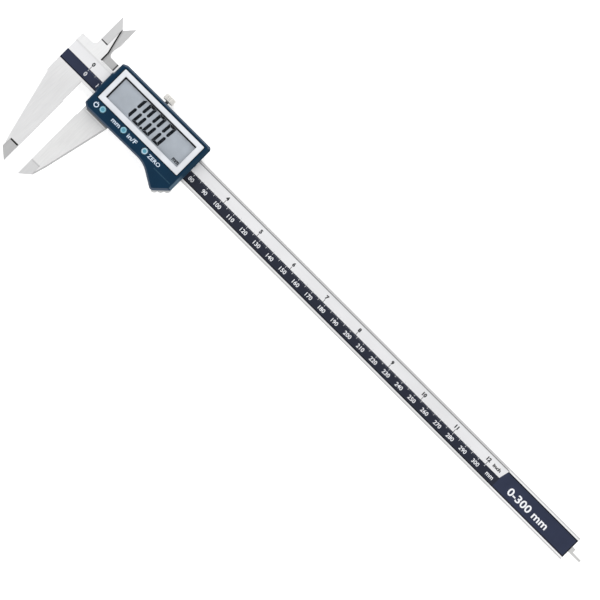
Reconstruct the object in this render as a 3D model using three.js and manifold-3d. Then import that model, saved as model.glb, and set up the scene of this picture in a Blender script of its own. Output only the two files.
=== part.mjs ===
// A digital caliper, 300 mm / 12 inch, lying on its back. Millimetres, +Z up out of the display.
// +X runs along the beam away from the jaws, and +Y points to the inside jaws.
// The drawing datum is the fixed jaw's measuring face (x = 0), the beam's centre line (y = 0) and
// the rearmost surface (z = 0). The slider's pieces are drawn the same way from the moving jaw's
// measuring face, and the slider's group is then placed at the opening.
import * as THREE from "three";
import { mergeVertices } from "three/addons/utils/BufferGeometryUtils.js";
import Module from "manifold-3d";

// ---------- driving dimensions ----------

const OPENING = 10; // distance between the jaws at rest
const CLEARANCE = 0.05; // running gap of the slider on the beam
const CUT = 1; // how far a cutting solid reaches past the faces it cuts
const BEYOND = 90; // past the housing's far edges, for cutting solids

// Sides of the round pieces.
const ROUND = 20;
const SCREW_SIDES = 16;
const BUTTON_SIDES = 24;
const KNOB_SIDES = 32;

const BEAM = { left: -18, right: 370.5, half: 8, back: 1.5, front: 5.5 };
const RECESS = { half: 6.25, floor: 4.6 }; // channel for the scale in the beam's face
const SCALE = { left: -17.9, right: 370.4, grid: 0.4, label: 0.3 }; // the two scale layers
const GROOVE = { left: 2, half: 2.3, top: 3.4 }; // channel for the depth rod in the beam's back

const JAW = { tip: -67.2, heel: -61.8, knee: -53.6, root: -16.5, relief: 0.4, reliefEnd: -21.5 };
const JAW_WIDTH = { heel: 6.2, knee: 8.6, fixed: 17.7, moving: 17.1 };
const JAW_BEVEL = 0.7; // along each outside jaw's back
const JAW_BLADE = { start: -56.6, slope: 1, step: 0.8, width: 6 }; // thinned end of each outside jaw

// The inside jaws: the fixed one grows out of the head, the moving one out of the slider's neck.
const INSIDE = { edge: -8.9, middle: -3.9, tip: 33, notch: 27.5 };
const INSIDE_BLADE = { start: 16.5, slope: 0.7, step: 0.7, right: -4.1 }; // thinned ends of both
const KNIFE_BEVEL = 0.7; // along the fixed inside jaw's measuring edge
const HEAD = { top: 11.6, inner: -0.5, shoulder: 13.4, fillet: 2.5, pillar: -15.8 };
const NECK = { left: -15.5, leftTop: 20, right: 1.4, curve: 0.9, curveTop: 16.6, edgeStart: 20.2 };
const NECK_GROOVE = { left: -3.1, right: -2.3, depth: 0.3 };
const SPLIT = { below: 3.4, above: 3.6 }; // the inside jaws pass each other between these heights

const FRAME = { left: 0.4, right: 64, back: 1.2, shelf: 5.7, front: 6.9 };
const RAIL = { top: 12.7, gib: 9, bottom: -13.2, foot: -16.3 };
const PLATE = { left: 1, right: 63.4, bottom: -12.6 }; // front plate of the slider frame
const THUMB = {
  left: 38,
  bend: [43.4, -13.9],
  curve: [49.4, -17.9],
  rise: [56, -22],
  start: [57.4, -23.2],
  end: [65.2, -16],
  ridges: 3,
  crest: 1.6,
};
const READER = { left: 2.8, right: 61.6, half: 6.5 }; // window in the front plate
const GIB = { left: 4, right: 60, back: 1.7, front: 5.3, gap: 0.1 };
const BACK_PLATE = { left: 1, right: 63.4, bottom: -12.4, top: 12.2 };

const HOUSING = { skirt: 5.8, inner: 13.6, top: 14.6, bevel: 1.4, wall: 1.3 };
const RIM = { left: 1, right: 63, bottom: -7.9, top: 14.5, back: 12.8 }; // step the display sits in
const BOSS = { radius: 1.8, holeEnd: 11.5 }; // posts for the housing screws
const BEZEL = { left: 2.5, right: 61.5, bottom: -7.4, top: 13.8, back: 13.3, front: 14.5 };
const WINDOW = { left: 5.7, right: 58.4, bottom: -4.4, top: 10.9 };
const PANE = { left: 4.7, right: 59.3, bottom: -5.5, top: 11.9, back: 12.9 };
const LCD = { left: 4.6, right: 59.6, bottom: -6.2, top: 12.4, back: 11.1, front: 12.7 };
const ZEBRA = { left: 8, right: 56, width: 1.1, upper: 11.2, lower: -6.1 };
const BOARD = { left: 1.2, right: 63.2, bottom: -12.9, top: 13.8, back: 6.9, front: 7.9, notch: 2.4 };
const BATTERY_BAY = { left: 48.8, top: -7, baseLeft: 44 }; // corner that the boards leave to the cell
const READER_BOARD = { left: 5.8, right: 58.6, half: 6.1 };
const WIPER = { width: 2, half: 6.1, back: 5.4 };
const WIPER_X = { wiper_left: 3.2, wiper_right: 59.2 };
const CHIP = { left: 28, right: 36, bottom: 1, top: 7, front: 9.4 };
const KEYPAD = { left: 6, right: 43.5, bottom: -12.7, top: -7.9, front: 9 };

const BUTTON = { y: -10.3, radius: 1.85, hole: 2.05, flange: 2.3, bottom: 12.4, flangeBack: 12.7 };
const CROWN = { top: 14.9, edge: 14.55, shoulder: 14.8, inset: 0.35 }; // rounded end of each button
const BUTTON_X = { button_power: 9, button_units: 24.5, button_zero: 40.3 };
const PLUNGER = { radius: 1.3, top: 11.8 };

// One 11.6 x 5.4 button cell; its cap stands on the can and is the negative pole.
const CELL = { x: 55.6, y: -13.7, radius: 5.8, bottom: 7.6, top: 13, can: 1, cap: 0.8 };
const TRAY = { radius: 6.4, bottom: 7.1, wall: 12.6, top: 13.1, grip: 62.2, slack: 0.15 };
const MOUTH = { depth: 4, half: 2 }; // gap in the tray's wall for the side contact
const TOP_CONTACT = { left: 54, right: 57, end: -14.7, leg: -6.9, edge: -6.6, back: 13.05, front: 13.25 };
const SIDE_CONTACT = { left: 48.5, right: 48.75, end: -14.7, top: -7.1, leg: -8, back: 8.5, front: 11 };
const TAB = { reach: 0.75, width: 2, back: 9, front: 10.6 }; // the side contact's tab

const LOCK = { x: 30, z: 4, tip: 9.2, head: 17.6, end: 21, radius: 3.45, stem: 1.45 };
const GRUB = { x: [12, 50], radius: 1.2, recess: 0.4 };
const ROD = { left: 6, right: 370, half: 1.9, back: 1.8, front: 3.1, padEnd: 18 };
const NIB = { length: 6.5, top: -0.35 }; // narrow end of the depth rod
const STOP = { left: 365.7, half: 6, screwY: 4 };

const TALL_SCREWS = [
  [2.5, 10.85],
  [62, 10.85],
  [2.5, -10.6],
  [46.5, -10.6],
];
const SHORT_SCREWS = [
  [20, 10.85],
  [40, 10.85],
  [20, -10.6],
  [40, -10.6],
];
const SCREW = { head: 1.6, neck: 0.9, shank: 0.8, hole: 0.95, sunk: 0.1, slot: 0.4, slotTop: 0.45 };
const SCREW_TIP = { stop: 3.7, rod: 2.6, plate: 3.4, housing: 11 };

// ---------- materials ----------

const finish = (color, roughness, metalness, extra = {}) =>
  new THREE.MeshStandardMaterial({ color, roughness, metalness, ...extra });

const MATERIAL = {
  steel: finish(0xc9cbcc, 0.35, 0.9),
  screwSteel: finish(0xa9aaa8, 0.4, 0.9),
  brass: finish(0xb59a4e, 0.4, 0.9),
  navyPlastic: finish(0x10304a, 0.45, 0),
  whitePlastic: finish(0xf1f3f7, 0.35, 0),
  tealPlastic: finish(0x8fd0e0, 0.4, 0),
  label: finish(0x2b2f45, 0.5, 0),
  boardGreen: finish(0x1f6b45, 0.6, 0),
  blackResin: finish(0x17181a, 0.6, 0),
  rubber: finish(0x2a2b2d, 0.85, 0),
  felt: finish(0x4a4a48, 0.95, 0),
  liquidCrystal: finish(0xa9b0b8, 0.25, 0),
  clear: finish(0xe8f0f4, 0.05, 0, { transparent: true, opacity: 0.3 }),
  cellSteel: finish(0xd3d3cf, 0.25, 1),
};

// ---------- solids ----------

const wasm = await Module();
wasm.setup();

function solidOf(geometry) {
  geometry.deleteAttribute("normal");
  geometry.deleteAttribute("uv");
  const merged = mergeVertices(geometry, 1e-4);
  const vertProperties = merged.attributes.position.array;
  const triVerts = new Uint32Array(merged.index.array);
  return new wasm.Manifold(new wasm.Mesh({ numProp: 3, vertProperties, triVerts }));
}

const join = (first, ...others) => others.reduce((all, next) => all.add(next), first);
const cut = (first, ...tools) => tools.reduce((left, tool) => left.subtract(tool), first);

function block(x0, x1, y0, y1, z0, z1) {
  const geometry = new THREE.BoxGeometry(x1 - x0, y1 - y0, z1 - z0);
  geometry.translate((x0 + x1) / 2, (y0 + y1) / 2, (z0 + z1) / 2);
  return solidOf(geometry);
}

// A flat outline raised from z0 to z1; inset moves its edge inwards.
function prism(shape, z0, z1, inset = 0) {
  const geometry = new THREE.ExtrudeGeometry(shape, {
    depth: z1 - z0,
    curveSegments: 8,
    bevelEnabled: inset > 0,
    bevelSegments: 0,
    bevelSize: 0,
    bevelThickness: 0,
    bevelOffset: -inset,
  });
  geometry.translate(0, 0, z0);
  return solidOf(geometry);
}

const polygon = (points) => new THREE.Shape(points.map(([x, y]) => new THREE.Vector2(x, y)));

// A [y, z] outline raised from x0 to x1.
const acrossX = (points, x0, x1) => prism(polygon(points), x0, x1).rotate([90, 0, 90]);

// A profile of [radius, height] points turned about the Z axis through x, y.
function turned(profile, x, y, sides = ROUND) {
  const points = profile.map(([radius, height]) => new THREE.Vector2(radius, height));
  const geometry = new THREE.LatheGeometry(points, sides);
  geometry.rotateX(Math.PI / 2);
  geometry.translate(x, y, 0);
  return solidOf(geometry);
}

function cylinder(radius, x, y, z0, z1, sides = ROUND) {
  const profile = [
    [0, z0],
    [radius, z0],
    [radius, z1],
    [0, z1],
  ];
  return turned(profile, x, y, sides);
}

// The same solid with its Z axis laid along +Y, through x and z.
const alongY = (solid, x, z) => solid.rotate([-90, 0, 0]).translate([x, 0, z]);

function mesh(name, solid, material) {
  const { numProp, vertProperties, triVerts } = solid.getMesh();
  const geometry = new THREE.BufferGeometry();
  geometry.setAttribute("position", new THREE.BufferAttribute(vertProperties, numProp));
  geometry.setIndex(new THREE.BufferAttribute(triVerts, 1));
  geometry.computeVertexNormals();
  const piece = new THREE.Mesh(geometry, material);
  piece.name = name;
  return piece;
}

// ---------- jaws ----------

// The wedge that bevels a front edge from one point to the next, with the body on its left.
function bevelWedge([x0, y0], [x1, y1], width) {
  const length = Math.hypot(x1 - x0, y1 - y0);
  const [alongX, alongY] = [(x1 - x0) / length, (y1 - y0) / length];
  const section = [
    [0, -width],
    [-width, 0],
    [-width, CUT],
    [CUT, CUT],
    [CUT, -width],
  ];
  const ring = (x, y) =>
    section.map(([across, up]) => [x + across * alongY, y - across * alongX, BEAM.front + up]);
  const ends = [ring(x0, y0), ring(x1 + CUT * alongX, y1 + CUT * alongY)];
  return wasm.Manifold.hull(ends.flat());
}

// An outside jaw with its measuring face on x = 0 and its body on one side (1 or -1) of it.
function outsideJaw(side, rootWidth, top) {
  const outline = [
    [JAW.relief, top],
    [JAW.relief, JAW.reliefEnd],
    [0, JAW.reliefEnd - JAW.relief],
    [0, JAW.tip],
    [JAW_WIDTH.heel, JAW.heel],
    [JAW_WIDTH.knee, JAW.knee],
    [rootWidth, JAW.root],
    [rootWidth, top],
  ];
  const body = prism(polygon(outline.map(([x, y]) => [side * x, y])), BEAM.back, BEAM.front);
  const [near, far] = [-CUT, JAW_BLADE.width].map((x) => side * x).sort((a, b) => a - b);
  const end = JAW.tip - CUT;
  const ramp = JAW_BLADE.start + JAW_BLADE.slope;
  const shaveFront = [
    [end, BEAM.front - JAW_BLADE.step],
    [JAW_BLADE.start, BEAM.front - JAW_BLADE.step],
    [ramp, BEAM.front],
    [ramp, BEAM.front + CUT],
    [end, BEAM.front + CUT],
  ];
  const shaveBack = block(near, far, end, ramp, BEAM.back - CUT, BEAM.back + JAW_BLADE.step);
  const [heel, knee, root] = outline.slice(4, 7).map(([x, y]) => [side * x, y]);
  const edges = side > 0 ? [[heel, knee], [knee, root]] : [[root, knee], [knee, heel]];
  const bevels = edges.map(([from, to]) => bevelWedge(from, to, JAW_BEVEL));
  return cut(body, acrossX(shaveFront, near, far), shaveBack, ...bevels);
}

// The fixed inside jaw and the head above the beam: the front half of the thickness, so that the
// moving inside jaw can pass behind it, with a full pillar at the far left.
function fixedInsideJaw() {
  const root = BEAM.half - CUT;
  const fillet = [INSIDE.edge - HEAD.fillet, HEAD.top + HEAD.fillet];
  const outline = new THREE.Shape();
  outline.moveTo(BEAM.left, root);
  outline.lineTo(HEAD.inner, root);
  outline.lineTo(HEAD.inner, HEAD.shoulder);
  outline.lineTo(INSIDE.middle, INSIDE.notch);
  outline.lineTo(INSIDE.edge, INSIDE.tip);
  outline.lineTo(INSIDE.edge, HEAD.top + HEAD.fillet);
  outline.absarc(...fillet, HEAD.fillet, 0, -Math.PI / 2, true);
  outline.lineTo(BEAM.left, HEAD.top);
  const plate = prism(outline, SPLIT.above, BEAM.front);
  const pillar = block(BEAM.left, HEAD.pillar, root, HEAD.top, BEAM.back, BEAM.front);
  const { start, slope, step, right } = INSIDE_BLADE;
  const shave = [
    [start - slope, BEAM.front],
    [start, BEAM.front - step],
    [INSIDE.tip + CUT, BEAM.front - step],
    [INSIDE.tip + CUT, BEAM.front + CUT],
    [start - slope, BEAM.front + CUT],
  ];
  const shoulder = [HEAD.inner, HEAD.shoulder];
  const bevelled = cut(
    plate,
    acrossX(shave, INSIDE.edge - CUT, right),
    bevelWedge([HEAD.inner, BEAM.half], shoulder, KNIFE_BEVEL),
    bevelWedge(shoulder, [INSIDE.middle, INSIDE.notch], KNIFE_BEVEL),
  );
  return join(bevelled, pillar);
}

// The moving inside jaw, in slider coordinates: the back half of the thickness.
function movingInsideJaw() {
  const bottom = BEAM.half + 5 * CLEARANCE;
  const outline = new THREE.Shape();
  outline.moveTo(NECK.right, bottom);
  outline.lineTo(NECK.right, RAIL.top);
  outline.lineTo(INSIDE.edge + 1, RAIL.top);
  const waist = INSIDE.edge - NECK.curve;
  outline.quadraticCurveTo(waist, RAIL.top, waist, NECK.curveTop);
  outline.lineTo(INSIDE.edge, NECK.edgeStart);
  outline.lineTo(INSIDE.edge, INSIDE.tip);
  outline.lineTo(INSIDE.middle - OPENING, INSIDE.notch);
  outline.lineTo(NECK.left, NECK.leftTop);
  outline.lineTo(NECK.left, bottom);
  const plate = prism(outline, BEAM.back, SPLIT.below);
  const shave = block(
    NECK.left - CUT,
    INSIDE.edge + CUT,
    INSIDE_BLADE.start,
    INSIDE.tip + CUT,
    BEAM.back - CUT,
    BEAM.back + INSIDE_BLADE.step,
  );
  const groove = block(
    NECK_GROOVE.left,
    NECK_GROOVE.right,
    bottom - CUT,
    RAIL.top + CUT,
    SPLIT.below - NECK_GROOVE.depth,
    SPLIT.below + CUT,
  );
  return cut(plate, shave, groove);
}

// ---------- beam and scale ----------

function beam() {
  const blade = block(BEAM.left, BEAM.right, -BEAM.half, BEAM.half, BEAM.back, BEAM.front);
  const root = CUT - BEAM.half;
  const jaw = outsideJaw(-1, JAW_WIDTH.fixed, root);
  const heel = polygon([
    [BEAM.left, root],
    [BEAM.left, JAW.root + 3],
    [-JAW_WIDTH.fixed, JAW.root],
    [2 - JAW_WIDTH.fixed, root],
  ]);
  const whole = join(blade, jaw, prism(heel, BEAM.back, BEAM.front), fixedInsideJaw());
  const rear = BEAM.back - CUT;
  const ahead = BEAM.front + CUT;
  const end = BEAM.right + CUT;
  return cut(
    whole,
    block(BEAM.left - CUT, end, -RECESS.half, RECESS.half, RECESS.floor, ahead),
    block(GROOVE.left, end, -GROOVE.half, GROOVE.half, rear, GROOVE.top),
    ...stopScrewPlaces().map(([x, y]) => cylinder(SCREW.hole, x, y, rear, SCREW_TIP.stop + 0.3)),
  );
}

// One flat layer in the beam's channel, its edges moved in by margin.
function scaleLayer(z0, z1, margin) {
  const half = RECESS.half - margin;
  return block(SCALE.left + margin, SCALE.right - margin, -half, half, z0, z1);
}

const scaleGrid = () => scaleLayer(RECESS.floor, RECESS.floor + SCALE.grid, 0.1);

function scaleLabel() {
  const back = RECESS.floor + SCALE.grid;
  return scaleLayer(back, back + SCALE.label, 0);
}

function stopScrewPlaces() {
  const x = (STOP.left + BEAM.right) / 2;
  return [
    [x, STOP.screwY],
    [x, -STOP.screwY],
  ];
}

function endStopPlate() {
  const plate = block(STOP.left, BEAM.right, -STOP.half, STOP.half, 0, BEAM.back);
  return cut(plate, ...stopScrewPlaces().map(([x, y]) => sunkHole(x, y, BEAM.back)));
}

// ---------- screws ----------

// A countersunk screw standing head down, its head just inside the rearmost surface.
function sunkScrew(x, y, tip) {
  const profile = [
    [0, SCREW.sunk],
    [SCREW.head, SCREW.sunk],
    [SCREW.shank, SCREW.neck],
    [SCREW.shank, tip - 0.3],
    [0, tip],
  ];
  const reach = SCREW.head + CUT;
  const halfSlot = SCREW.slot / 2;
  const slot = block(x - reach, x + reach, y - halfSlot, y + halfSlot, 0, SCREW.slotTop);
  return cut(turned(profile, x, y, SCREW_SIDES), slot);
}

// The countersunk hole for it through a plate of the given thickness.
function sunkHole(x, y, thickness) {
  const gap = SCREW.hole - SCREW.shank;
  const profile = [
    [0, -CUT],
    [SCREW.head + gap, -CUT],
    [SCREW.head + gap, SCREW.sunk],
    [SCREW.hole, SCREW.neck],
    [SCREW.hole, thickness + CUT],
    [0, thickness + CUT],
  ];
  return turned(profile, x, y, SCREW_SIDES);
}

const screwHoles = (places, z0, z1) =>
  places.map(([x, y]) => cylinder(SCREW.hole, x, y, z0, z1, SCREW_SIDES));

// A round solid along +Y at x, in the slider's top rail.
const inTopRail = (radius, x, y0, y1, sides) =>
  alongY(cylinder(radius, 0, 0, y0, y1, sides), x, LOCK.z);

const grubScrew = (x) => inTopRail(GRUB.radius, x, RAIL.gib, RAIL.top - GRUB.recess, SCREW_SIDES);

// The lock screw: a turned stem with a thick round head.
function lockScrew() {
  const profile = [
    [0, LOCK.tip],
    [LOCK.stem - 0.3, LOCK.tip],
    [LOCK.stem, LOCK.tip + 0.4],
    [LOCK.stem, LOCK.head],
    [LOCK.radius - 0.4, LOCK.head],
    [LOCK.radius, LOCK.head + 0.4],
    [LOCK.radius, LOCK.end - 0.5],
    [LOCK.radius - 0.5, LOCK.end],
    [0, LOCK.end],
  ];
  return alongY(turned(profile, 0, 0, KNOB_SIDES), LOCK.x, LOCK.z);
}

// ---------- slider frame ----------

// The steel thumb rest: it follows the housing's curved grip and shows a ridged edge beyond it.
function thumbRest() {
  const { left, bend, curve, rise, start, end, ridges, crest } = THUMB;
  const first = new THREE.Vector2(...start);
  const last = new THREE.Vector2(...end);
  const outwards = new THREE.Vector2(last.y - first.y, first.x - last.x).normalize();
  const outline = new THREE.Shape();
  outline.moveTo(left, RAIL.bottom + CUT);
  outline.lineTo(left, RAIL.bottom);
  outline.quadraticCurveTo(...bend, ...curve);
  outline.lineTo(...rise);
  outline.lineTo(first.x, first.y);
  for (let ridge = 0; ridge < ridges; ridge += 1) {
    const top = first.clone().lerp(last, (ridge + 0.5) / ridges).addScaledVector(outwards, crest);
    const valley = first.clone().lerp(last, (ridge + 1) / ridges);
    outline.quadraticCurveTo(top.x, top.y, valley.x, valley.y);
  }
  outline.lineTo(FRAME.right, RAIL.bottom + CUT);
  return prism(outline, FRAME.back, FRAME.shelf);
}

function sliderFrame() {
  const jawTop = -BEAM.half - CLEARANCE;
  const { left, right, back, shelf, front } = FRAME;
  const whole = join(
    outsideJaw(1, JAW_WIDTH.moving, jawTop),
    block(left, JAW_WIDTH.moving, RAIL.foot, jawTop, back, shelf),
    block(left, right, RAIL.bottom, jawTop, back, shelf),
    block(left, right, RAIL.gib, RAIL.top, back, shelf),
    block(PLATE.left, PLATE.right, PLATE.bottom, RAIL.top, shelf, front),
    block(PLATE.left, PLATE.right, PLATE.bottom, jawTop, back, front),
    block(PLATE.left, PLATE.right, RAIL.gib, RAIL.top, back, front),
    movingInsideJaw(),
    thumbRest(),
  );
  const { half } = READER;
  return cut(
    whole,
    block(READER.left, READER.right, -half, half, shelf - CUT, front + CUT),
    inTopRail(LOCK.stem + 0.3, LOCK.x, RAIL.gib - CUT, RAIL.top + CUT, ROUND),
    ...GRUB.x.map((x) =>
      inTopRail(GRUB.radius + 0.1, x, RAIL.gib - CUT, RAIL.top + CUT, SCREW_SIDES),
    ),
    ...screwHoles(TALL_SCREWS, 0, front + CUT),
    ...screwHoles(SHORT_SCREWS, 0, SCREW_TIP.plate + 0.4),
  );
}

function backPlate() {
  const { left, right, bottom, top } = BACK_PLATE;
  const plate = block(left, right, bottom, top, 0, FRAME.back);
  const places = [...TALL_SCREWS, ...SHORT_SCREWS, rodScrewPlace()];
  return cut(plate, ...places.map(([x, y]) => sunkHole(x, y, FRAME.back)));
}

// ---------- gib and depth rod ----------

const gib = () =>
  block(GIB.left, GIB.right, BEAM.half + CLEARANCE, RAIL.gib - GIB.gap, GIB.back, GIB.front);

const rodScrewPlace = () => [(ROD.left + ROD.padEnd) / 2, 0];

// The depth rod: a flat bar with a pad screwed to the back plate and a narrow nib at its far end.
function depthRod() {
  const { left, right, half, back, front, padEnd } = ROD;
  const bar = block(left, right, -half, half, back, front);
  const pad = block(left, padEnd, -half, half, FRAME.back, front);
  return cut(
    join(bar, pad),
    block(right - NIB.length, right + CUT, NIB.top, half + CUT, back - CUT, front + CUT),
    ...screwHoles([rodScrewPlace()], 0, SCREW_TIP.rod + 0.2),
  );
}

// ---------- housing ----------

// The plan of the housing: a rectangle with cut corners, a low bulge over the beam on the left,
// and a pointed thumb grip at the lower right.
function housingOutline() {
  const outline = new THREE.Shape();
  outline.moveTo(-0.5, 14.8);
  outline.lineTo(-0.5, 8.4);
  outline.lineTo(-1.1, 7.4);
  outline.lineTo(-1.1, -5.4);
  outline.lineTo(-0.5, -6.4);
  outline.lineTo(-0.5, -13.9);
  outline.lineTo(2, -15.4);
  outline.lineTo(37, -14.7);
  outline.quadraticCurveTo(43.2, -14.85, 49.5, -18.9);
  outline.lineTo(55.4, -22.3);
  outline.quadraticCurveTo(56.8, -23.1, 58, -21.9);
  outline.lineTo(64.9, -15.5);
  outline.lineTo(64.9, 15);
  outline.lineTo(63.8, 16.1);
  outline.lineTo(2.2, 16);
  return outline;
}

// The battery tray's path: a round end about the cell, open towards +X.
function trayPath(margin, z0, z1) {
  const radius = TRAY.radius + margin;
  const outline = new THREE.Shape();
  outline.absarc(CELL.x, CELL.y, radius, Math.PI / 2, (3 * Math.PI) / 2, false);
  outline.lineTo(BEYOND, CELL.y - radius);
  outline.lineTo(BEYOND, CELL.y + radius);
  return prism(outline, z0, z1);
}

// The housing's outside: the outline raised over the skirt, its top edge rounded off.
function housingBody() {
  const { skirt, top, bevel } = HOUSING;
  const geometry = new THREE.ExtrudeGeometry(housingOutline(), {
    depth: top - skirt,
    curveSegments: 8,
    bevelSegments: 2,
    bevelSize: bevel,
    bevelThickness: bevel,
    bevelOffset: -bevel,
  });
  geometry.translate(0, 0, skirt - bevel);
  return cut(solidOf(geometry), block(-BEYOND, BEYOND, -BEYOND, BEYOND, 0, skirt));
}

function housingShell() {
  const { skirt, inner, top, wall } = HOUSING;
  const gap = 0.1;
  const hollow = prism(housingOutline(), skirt - CUT, inner, wall);
  const rim = block(RIM.left, RIM.right, RIM.bottom, RIM.top, RIM.back, inner);
  const bosses = TALL_SCREWS.map(([x, y]) => cylinder(BOSS.radius, x, y, BOARD.back, inner));
  const pocket = block(
    BEZEL.left - gap,
    BEZEL.right + gap,
    BEZEL.bottom - gap,
    BEZEL.top + gap,
    BEZEL.back,
    top + CUT,
  );
  const opening = block(
    PANE.left - gap,
    PANE.right + gap,
    PANE.bottom - gap,
    PANE.top + gap,
    RIM.back - CUT,
    top + CUT,
  );
  const buttonHoles = Object.values(BUTTON_X).map((x) =>
    cylinder(BUTTON.hole, x, BUTTON.y, inner - CUT, top + CUT, BUTTON_SIDES),
  );
  return cut(
    join(cut(housingBody(), hollow), rim, ...bosses),
    pocket,
    opening,
    ...buttonHoles,
    ...screwHoles(TALL_SCREWS, BOARD.back - CUT, BOSS.holeEnd),
    trayPath(TRAY.slack, TRAY.bottom - gap, TRAY.top + gap),
    block(
      TOP_CONTACT.left - 0.5,
      TOP_CONTACT.right + 0.5,
      RIM.bottom - CUT,
      TOP_CONTACT.edge + 0.4,
      RIM.back - gap,
      BEZEL.back,
    ),
  );
}

// The floor of the battery bay, under the thumb grip.
function housingBase() {
  const { skirt, wall } = HOUSING;
  return cut(
    prism(housingOutline(), skirt, FRAME.front, wall + 0.1),
    block(-BEYOND, BEYOND, PLATE.bottom - 0.1, BEYOND, 0, BEYOND),
    block(-BEYOND, BATTERY_BAY.baseLeft, -BEYOND, BEYOND, 0, BEYOND),
  );
}

// ---------- display ----------

function bezel() {
  const { left, right, bottom, top, back, front } = BEZEL;
  return cut(
    block(left, right, bottom, top, back, front),
    block(WINDOW.left, WINDOW.right, WINDOW.bottom, WINDOW.top, back - CUT, front + CUT),
  );
}

const pane = () => block(PANE.left, PANE.right, PANE.bottom, PANE.top, PANE.back, BEZEL.back);

const lcdGlass = () => block(LCD.left, LCD.right, LCD.bottom, LCD.top, LCD.back, LCD.front);

const zebraStrip = (y) =>
  block(ZEBRA.left, ZEBRA.right, y, y + ZEBRA.width, BOARD.front, LCD.back);

// ---------- electronics ----------

function mainBoard() {
  const { left, right, bottom, top, back, front, notch } = BOARD;
  return cut(
    block(left, right, bottom, top, back, front),
    block(BATTERY_BAY.left, BEYOND, -BEYOND, BATTERY_BAY.top, 0, BEYOND),
    ...TALL_SCREWS.map(([x, y]) => block(x - notch, x + notch, y - notch, y + notch, 0, BEYOND)),
  );
}

function readerBoard() {
  const { left, right, half } = READER_BOARD;
  return block(left, right, -half, half, FRAME.shelf, BOARD.back);
}

const wiper = (x) => block(x, x + WIPER.width, -WIPER.half, WIPER.half, WIPER.back, BOARD.back);

const chip = () => block(CHIP.left, CHIP.right, CHIP.bottom, CHIP.top, BOARD.front, CHIP.front);

function keypad() {
  const { left, right, bottom, top, front } = KEYPAD;
  const plungers = Object.values(BUTTON_X).map((x) =>
    cylinder(PLUNGER.radius, x, BUTTON.y, front - 0.5, PLUNGER.top, SCREW_SIDES),
  );
  return join(block(left, right, bottom, top, BOARD.front, front), ...plungers);
}

function button(x) {
  const { radius, flange, bottom, flangeBack } = BUTTON;
  const flangeFront = HOUSING.inner - 0.1;
  const profile = [
    [0, bottom],
    [radius, bottom],
    [radius, flangeBack],
    [flange, flangeBack],
    [flange, flangeFront],
    [radius, flangeFront],
    [radius, CROWN.edge],
    [radius - CROWN.inset, CROWN.shoulder],
    [0, CROWN.top],
  ];
  return turned(profile, x, BUTTON.y, BUTTON_SIDES);
}

// ---------- battery ----------

function batteryTray() {
  const body = prism(housingOutline(), TRAY.bottom, TRAY.top);
  const left = CELL.x - CELL.radius - 2 * CUT;
  const { x, y, radius, bottom } = CELL;
  const top = TRAY.top + CUT;
  return cut(
    body.intersect(trayPath(0, TRAY.bottom - CUT, top)),
    block(left, TRAY.grip, -BEYOND, BEYOND, TRAY.wall, top),
    cylinder(radius + TRAY.slack, x, y, bottom, top, KNOB_SIDES),
    block(left, x - MOUTH.depth, y - MOUTH.half, y + MOUTH.half, bottom, top),
  );
}

function buttonCell() {
  const { x, y, radius, bottom, top, can, cap } = CELL;
  const profile = [
    [0, bottom],
    [radius - 0.3, bottom],
    [radius, bottom + 0.3],
    [radius, top - can],
    [radius - cap, top - can + 0.4],
    [radius - cap, top],
    [0, top],
  ];
  return turned(profile, x, y, KNOB_SIDES);
}

// A bent strip: a leg down to the board and a finger over the cell's cap.
function topContact() {
  const { left, right, end, leg, edge, back, front } = TOP_CONTACT;
  return join(
    block(left, right, leg, edge, BOARD.front, front),
    block(left, right, end, edge, back, front),
  );
}

// A strip beside the cell, with a leg down to the board and a tab towards the cell's can.
function sideContact() {
  const { left, right, end, top, leg, back, front } = SIDE_CONTACT;
  return join(
    block(left, right, end, top, back, front),
    block(left, right, leg, top, BOARD.front, back + 0.1),
    block(right - 0.05, right + TAB.reach, end, end + TAB.width, TAB.back, TAB.front),
  );
}

// ---------- assembly ----------

const screws = (name, places, tip) =>
  places.map(([x, y], i) => mesh(`${name}_${i + 1}`, sunkScrew(x, y, tip), MATERIAL.screwSteel));

function beamPieces() {
  const pieces = new THREE.Group();
  pieces.add(
    mesh("beam", beam(), MATERIAL.steel),
    mesh("scale_grid", scaleGrid(), MATERIAL.boardGreen),
    mesh("scale_label", scaleLabel(), MATERIAL.label),
    mesh("end_stop_plate", endStopPlate(), MATERIAL.steel),
    ...screws("end_stop_screw", stopScrewPlaces(), SCREW_TIP.stop),
  );
  return pieces;
}

function steelPieces() {
  return [
    mesh("slider_frame", sliderFrame(), MATERIAL.steel),
    mesh("slider_back_plate", backPlate(), MATERIAL.steel),
    mesh("gib_strip", gib(), MATERIAL.brass),
    mesh("depth_rod", depthRod(), MATERIAL.steel),
    mesh("depth_rod_screw", sunkScrew(...rodScrewPlace(), SCREW_TIP.rod), MATERIAL.screwSteel),
    mesh("lock_screw", lockScrew(), MATERIAL.screwSteel),
    ...GRUB.x.map((x, i) => mesh(`gib_screw_${i + 1}`, grubScrew(x), MATERIAL.screwSteel)),
    ...screws("housing_screw", TALL_SCREWS, SCREW_TIP.housing),
    ...screws("back_plate_screw", SHORT_SCREWS, SCREW_TIP.plate),
  ];
}

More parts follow.
